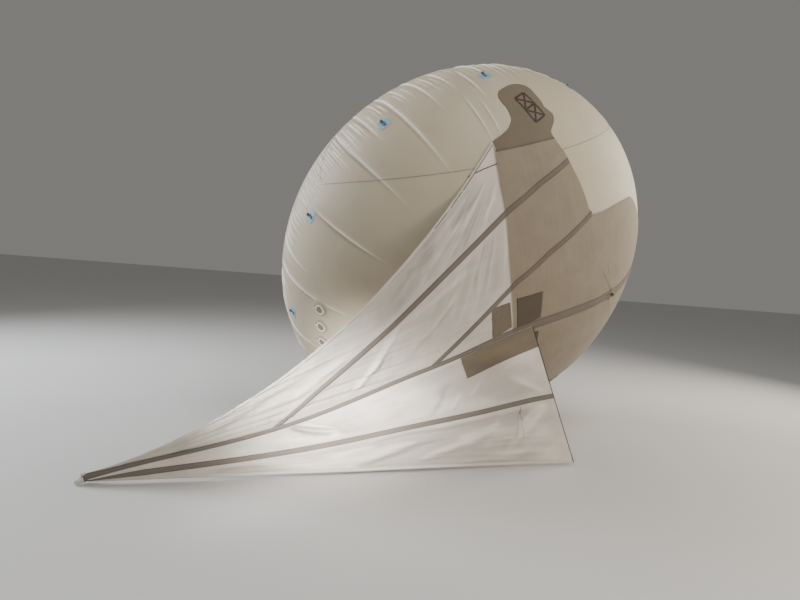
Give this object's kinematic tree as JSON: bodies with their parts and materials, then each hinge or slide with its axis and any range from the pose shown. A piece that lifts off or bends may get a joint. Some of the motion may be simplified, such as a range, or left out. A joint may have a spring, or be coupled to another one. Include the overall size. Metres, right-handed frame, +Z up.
{
  "type": "kite balloon",
  "caption": "Round flattened helium balloon with a sewn kite of wings, spine and keel under it, rim tabs and hinged filling valves, resting on its rim.",
  "frame": {"origin": "centre of the envelope, which is the mount air", "axes": "in the resting pose of the picture: +Z up, +X to the right with the nose at its +X end, +Y away from the viewer, the underside and kite facing -Y"},
  "size_m": [4.5808, 3.9886, 3.6061],
  "materials": {
    "film": "satin translucent film",
    "sail": "matt ripstop",
    "strip": "matt doubled cloth",
    "tab": "matt webbing patch",
    "valve": "moulded",
    "cord": "braided"
  },
  "bodies": {
    "balloon": {"envelope_top": "film", "envelope_underside": "film", "rim_seam": "film", "rim_tab_01": "tab", "rim_tab_02": "tab", "rim_tab_03": "tab", "rim_tab_04": "tab", "rim_tab_05": "tab", "rim_tab_06": "tab", "rim_tab_07": "tab", "rim_tab_08": "tab", "rim_tab_09": "tab", "rim_tab_10": "tab", "rim_tab_11": "tab", "rim_tab_12": "tab", "valve_flange_1": "valve", "valve_flange_2": "valve", "valve_flange_3": "valve", "wing_outer_panel_left": "sail", "wing_middle_panel_left": "sail", "wing_inner_panel_left": "sail", "wing_outer_panel_right": "sail", "wing_middle_panel_right": "sail", "wing_inner_panel_right": "sail", "wing_hem_left": "sail", "wing_hem_right": "sail", "shoulder_patch_left": "sail", "shoulder_patch_right": "sail", "nose_patch": "sail", "keel_upper_panel": "sail", "keel_lower_panel": "sail", "keel_hem": "sail", "strip_b_left": "strip", "strip_c_left": "strip", "strip_b_right": "strip", "strip_c_right": "strip", "spine_strip": "strip", "keel_strip": "strip", "doubler_rear_left": "strip", "doubler_front_left": "strip", "doubler_rear_right": "strip", "doubler_front_right": "strip", "shoulder_box_left": "strip", "shoulder_box_right": "strip", "keel_doubler": "strip", "keel_front_cord": "cord", "nose_tie": "cord"},
    "lid_1": {"valve_lid_1": "valve"},
    "lid_2": {"valve_lid_2": "valve"},
    "lid_3": {"valve_lid_3": "valve"}
  },
  "joints": [
    {"name": "valve_lid_1_hinge", "type": "hinge", "parent": "balloon", "child": "lid_1", "pos_m": [-1.36463, -1.14835, -0.5589], "axis": [-0.0718, 0.5042, -0.8606], "range_deg": [0, 150]},
    {"name": "valve_lid_2_hinge", "type": "hinge", "parent": "balloon", "child": "lid_2", "pos_m": [-1.35318, -1.06271, -0.71954], "axis": [0.0157, 0.5468, -0.8371], "range_deg": [0, 150]},
    {"name": "valve_lid_3_hinge", "type": "hinge", "parent": "balloon", "child": "lid_3", "pos_m": [-1.34302, -0.95888, -0.86933], "axis": [0.1038, 0.5844, -0.8048], "range_deg": [0, 150]}
  ]
}
